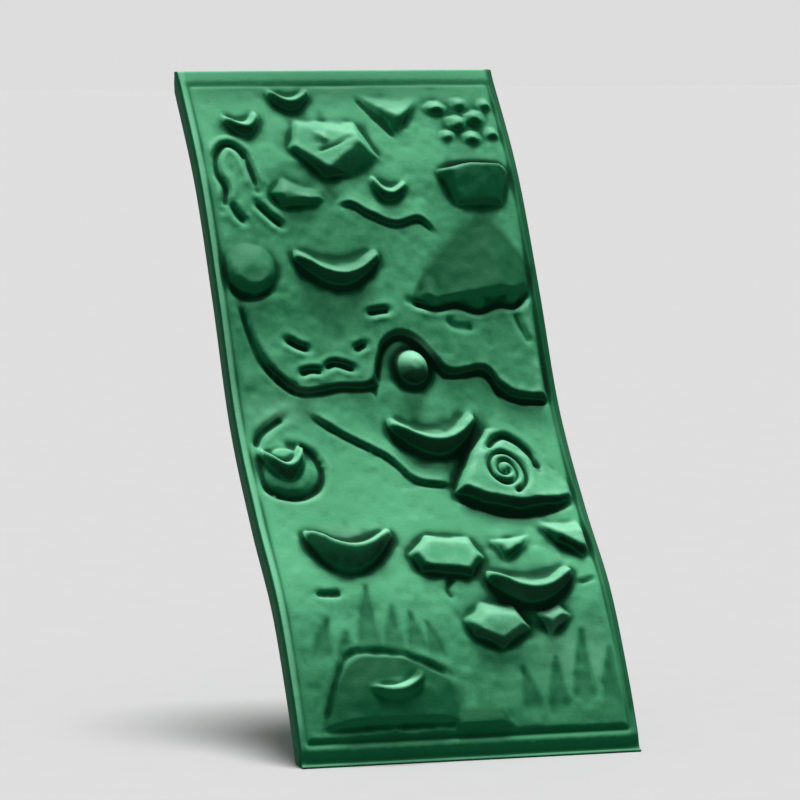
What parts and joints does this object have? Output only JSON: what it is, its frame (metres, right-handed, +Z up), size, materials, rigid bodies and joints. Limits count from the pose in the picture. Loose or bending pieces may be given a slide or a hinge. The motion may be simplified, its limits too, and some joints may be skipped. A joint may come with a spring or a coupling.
{
  "type": "rock climbing wall",
  "caption": "Leaning moulded climbing wall with rock-shaped holds, a head bracket that bolts to a raised play deck and two steel legs behind.",
  "frame": {"origin": "on the ground, at the middle of the assembly's bounding box in plan", "axes": "+X across the wall, the climbing face looks towards -Y, the deck is at the +Y side, +Z up"},
  "size_m": [0.8, 1.15, 1.524],
  "materials": {
    "moulded_green": "matt moulded polyethylene with a fine cast texture",
    "plug_green": "smooth satin plug",
    "brown_steel": "satin powder coat",
    "brown_tube": "satin powder coat on round tube",
    "stainless": "plain stainless steel",
    "insert_brass": "turned"
  },
  "bodies": {
    "root": {"climbing_panel": "moulded_green", "vent_plug": "plug_green", "deck_bracket": "brown_steel", "bracket_gusset_left": "brown_steel", "bracket_gusset_middle": "brown_steel", "bracket_gusset_right": "brown_steel", "bracket_bolts": "stainless", "bracket_washers": "stainless", "bracket_inserts": "insert_brass", "leg_tube_left": "brown_tube", "leg_tube_right": "brown_tube", "leg_saddle_left": "brown_steel", "leg_saddle_right": "brown_steel", "leg_base_left": "brown_steel", "leg_base_right": "brown_steel", "leg_gussets_left": "brown_steel", "leg_gussets_right": "brown_steel", "leg_brace": "brown_tube", "saddle_bolts": "stainless", "saddle_washers": "stainless", "saddle_inserts": "insert_brass"}
  },
  "joints": []
}
